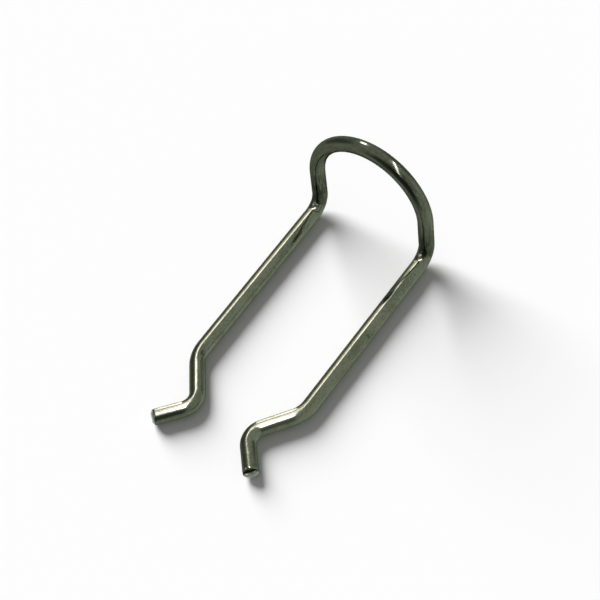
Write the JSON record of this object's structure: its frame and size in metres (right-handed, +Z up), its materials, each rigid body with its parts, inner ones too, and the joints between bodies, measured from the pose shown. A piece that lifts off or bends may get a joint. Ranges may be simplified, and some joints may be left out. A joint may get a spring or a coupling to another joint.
{
  "type": "wire retaining clip",
  "caption": "Sprung wire retaining clip: a U of round wire with a raised finger bow, straight parallel legs, and toes that pinch in and flare out at the mouth.",
  "frame": {"origin": "centre of the clip's footprint, on the surface that its legs lie on", "axes": "+X across the legs, from the left leg to the right leg; +Y along the legs, from the toes to the bow; +Z up, the way the bow rises"},
  "size_m": [0.0186, 0.0402, 0.0159],
  "materials": {
    "spring_wire": "bright drawn spring wire, slightly tarnished, dark olive-grey reflections"
  },
  "bodies": {
    "bow": {"bow": "spring_wire"},
    "left_leg": {"left_leg": "spring_wire"},
    "right_leg": {"right_leg": "spring_wire"}
  },
  "joints": [
    {"name": "left_leg_flex", "type": "hinge", "parent": "bow", "child": "left_leg", "pos_m": [-0.00825, 0.01714, 0.00101], "axis": [0, -0.1392, -0.9903], "range_deg": [-5, 8], "stiffness_Nm_per_rad": 4.5},
    {"name": "right_leg_flex", "type": "hinge", "parent": "bow", "child": "right_leg", "pos_m": [0.00825, 0.01714, 0.00101], "axis": [0, 0.1392, 0.9903], "range_deg": [-5, 8], "stiffness_Nm_per_rad": 4.5}
  ]
}
